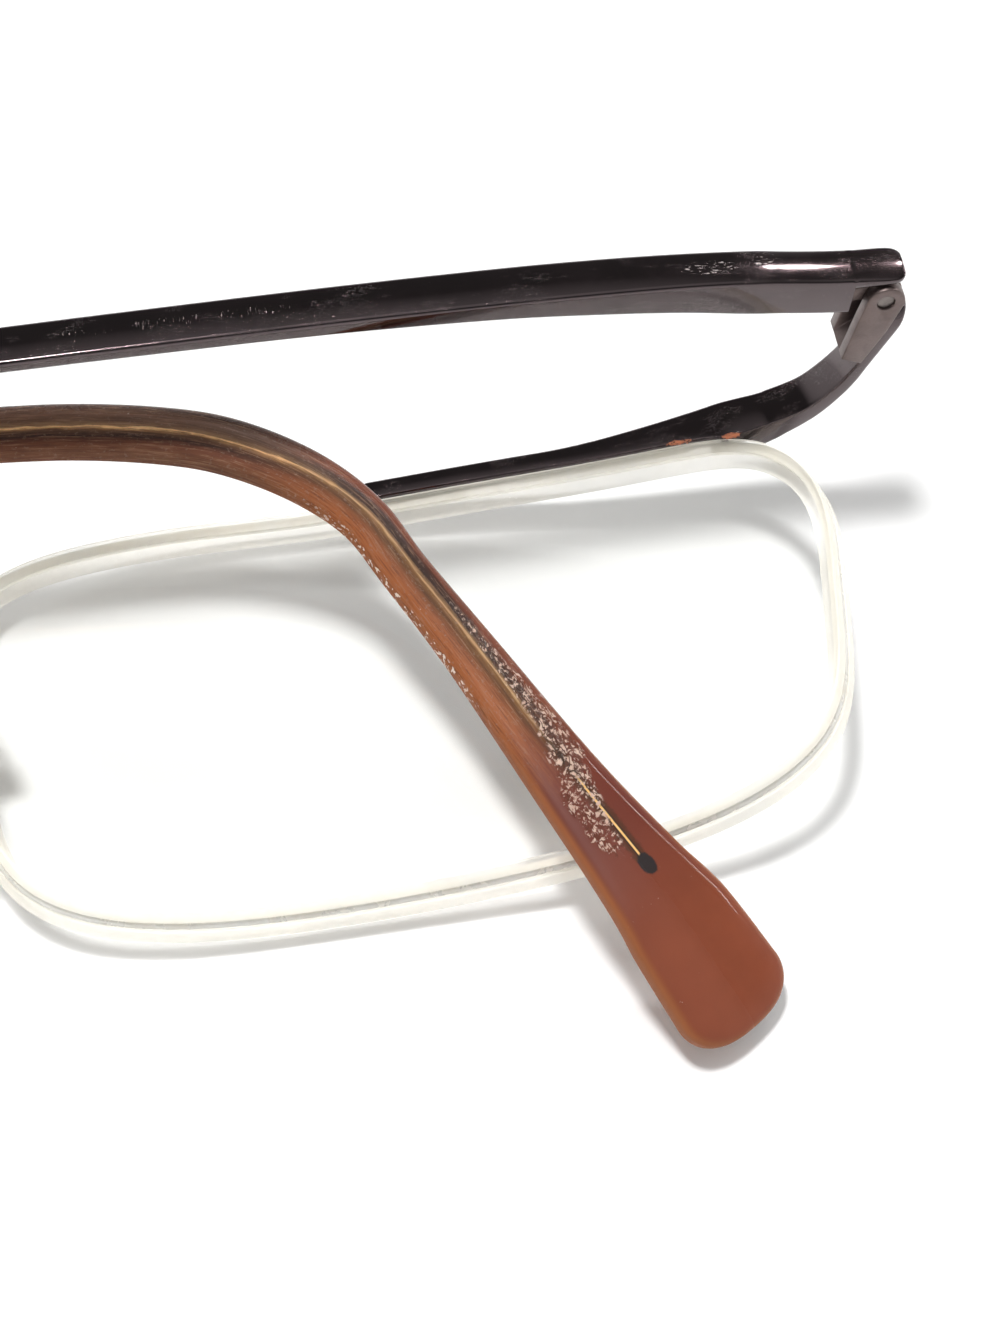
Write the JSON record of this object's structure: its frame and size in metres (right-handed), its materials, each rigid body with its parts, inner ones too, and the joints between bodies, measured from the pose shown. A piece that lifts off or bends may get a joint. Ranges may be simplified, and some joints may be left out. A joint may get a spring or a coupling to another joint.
{
  "type": "broken eyeglasses",
  "caption": "Worn semi-rimless eyeglasses, folded, with partial brown half rims, clear lenses in a nylon cord and crazed brown ear tips.",
  "frame": {"origin": "on the table under the middle of the folded outline, midway between the lenses", "axes": "+X to the wearer's right, +Y up as worn, +Z towards the wearer: the lens fronts lie on the table"},
  "size_m": [0.1356, 0.041, 0.0246],
  "materials": {
    "brown_metal": "dark brown gloss lacquer, chipped to copper and scratched",
    "hinge_metal": "thin grey-brown satin lacquer",
    "screw_steel": "dull, dirty steel",
    "pad_wire": "bright nickel-coloured wire, slightly tarnished",
    "clear_lens": "clear, frosted ground edge",
    "nylon": "clear nylon, slightly yellowed",
    "tip_plastic": "translucent red-brown, crazed and flaking over the core wire",
    "pad_plastic": "clear moulded insert",
    "pad_silicone": "soft clear silicone, slightly yellowed"
  },
  "bodies": {
    "front": {"bridge": "brown_metal", "right_lens": "clear_lens", "left_lens": "clear_lens", "right_retaining_cord": "nylon", "left_retaining_cord": "nylon", "right_rim_liner": "nylon", "left_rim_liner": "nylon", "right_half_rim": "brown_metal", "left_half_rim": "brown_metal", "right_front_leaf": "hinge_metal", "left_front_leaf": "hinge_metal", "right_hinge_screw": "screw_steel", "left_hinge_screw": "screw_steel", "right_pad_arm": "pad_wire", "left_pad_arm": "pad_wire", "right_pad_screw": "screw_steel", "left_pad_screw": "screw_steel"},
    "right_temple": {"right_temple": "brown_metal", "right_ear_tip": "tip_plastic", "right_temple_leaf": "hinge_metal"},
    "left_temple": {"left_temple": "brown_metal", "left_ear_tip": "tip_plastic", "left_temple_leaf": "hinge_metal"},
    "right_pad": {"right_pad_core": "pad_plastic", "right_nose_pad": "pad_silicone"},
    "left_pad": {"left_pad_core": "pad_plastic", "left_nose_pad": "pad_silicone"}
  },
  "joints": [
    {"name": "right_temple_hinge", "type": "hinge", "parent": "front", "child": "right_temple", "pos_m": [0.06615, 0.0183, 0.0194], "axis": [0, 1, 0], "range_deg": [0, 90]},
    {"name": "left_temple_hinge", "type": "hinge", "parent": "front", "child": "left_temple", "pos_m": [-0.06615, 0.0183, 0.0194], "axis": [0, -1, 0], "range_deg": [0, 95.5]},
    {"name": "right_pad_swivel", "type": "hinge", "parent": "front", "child": "right_pad", "pos_m": [0.0104, 0.0046, 0.0088], "axis": [0, 0, 1], "range_deg": [-10, 10]},
    {"name": "left_pad_swivel", "type": "hinge", "parent": "front", "child": "left_pad", "pos_m": [-0.0104, 0.0046, 0.0088], "axis": [0, 0, 1], "range_deg": [-10, 10]}
  ]
}
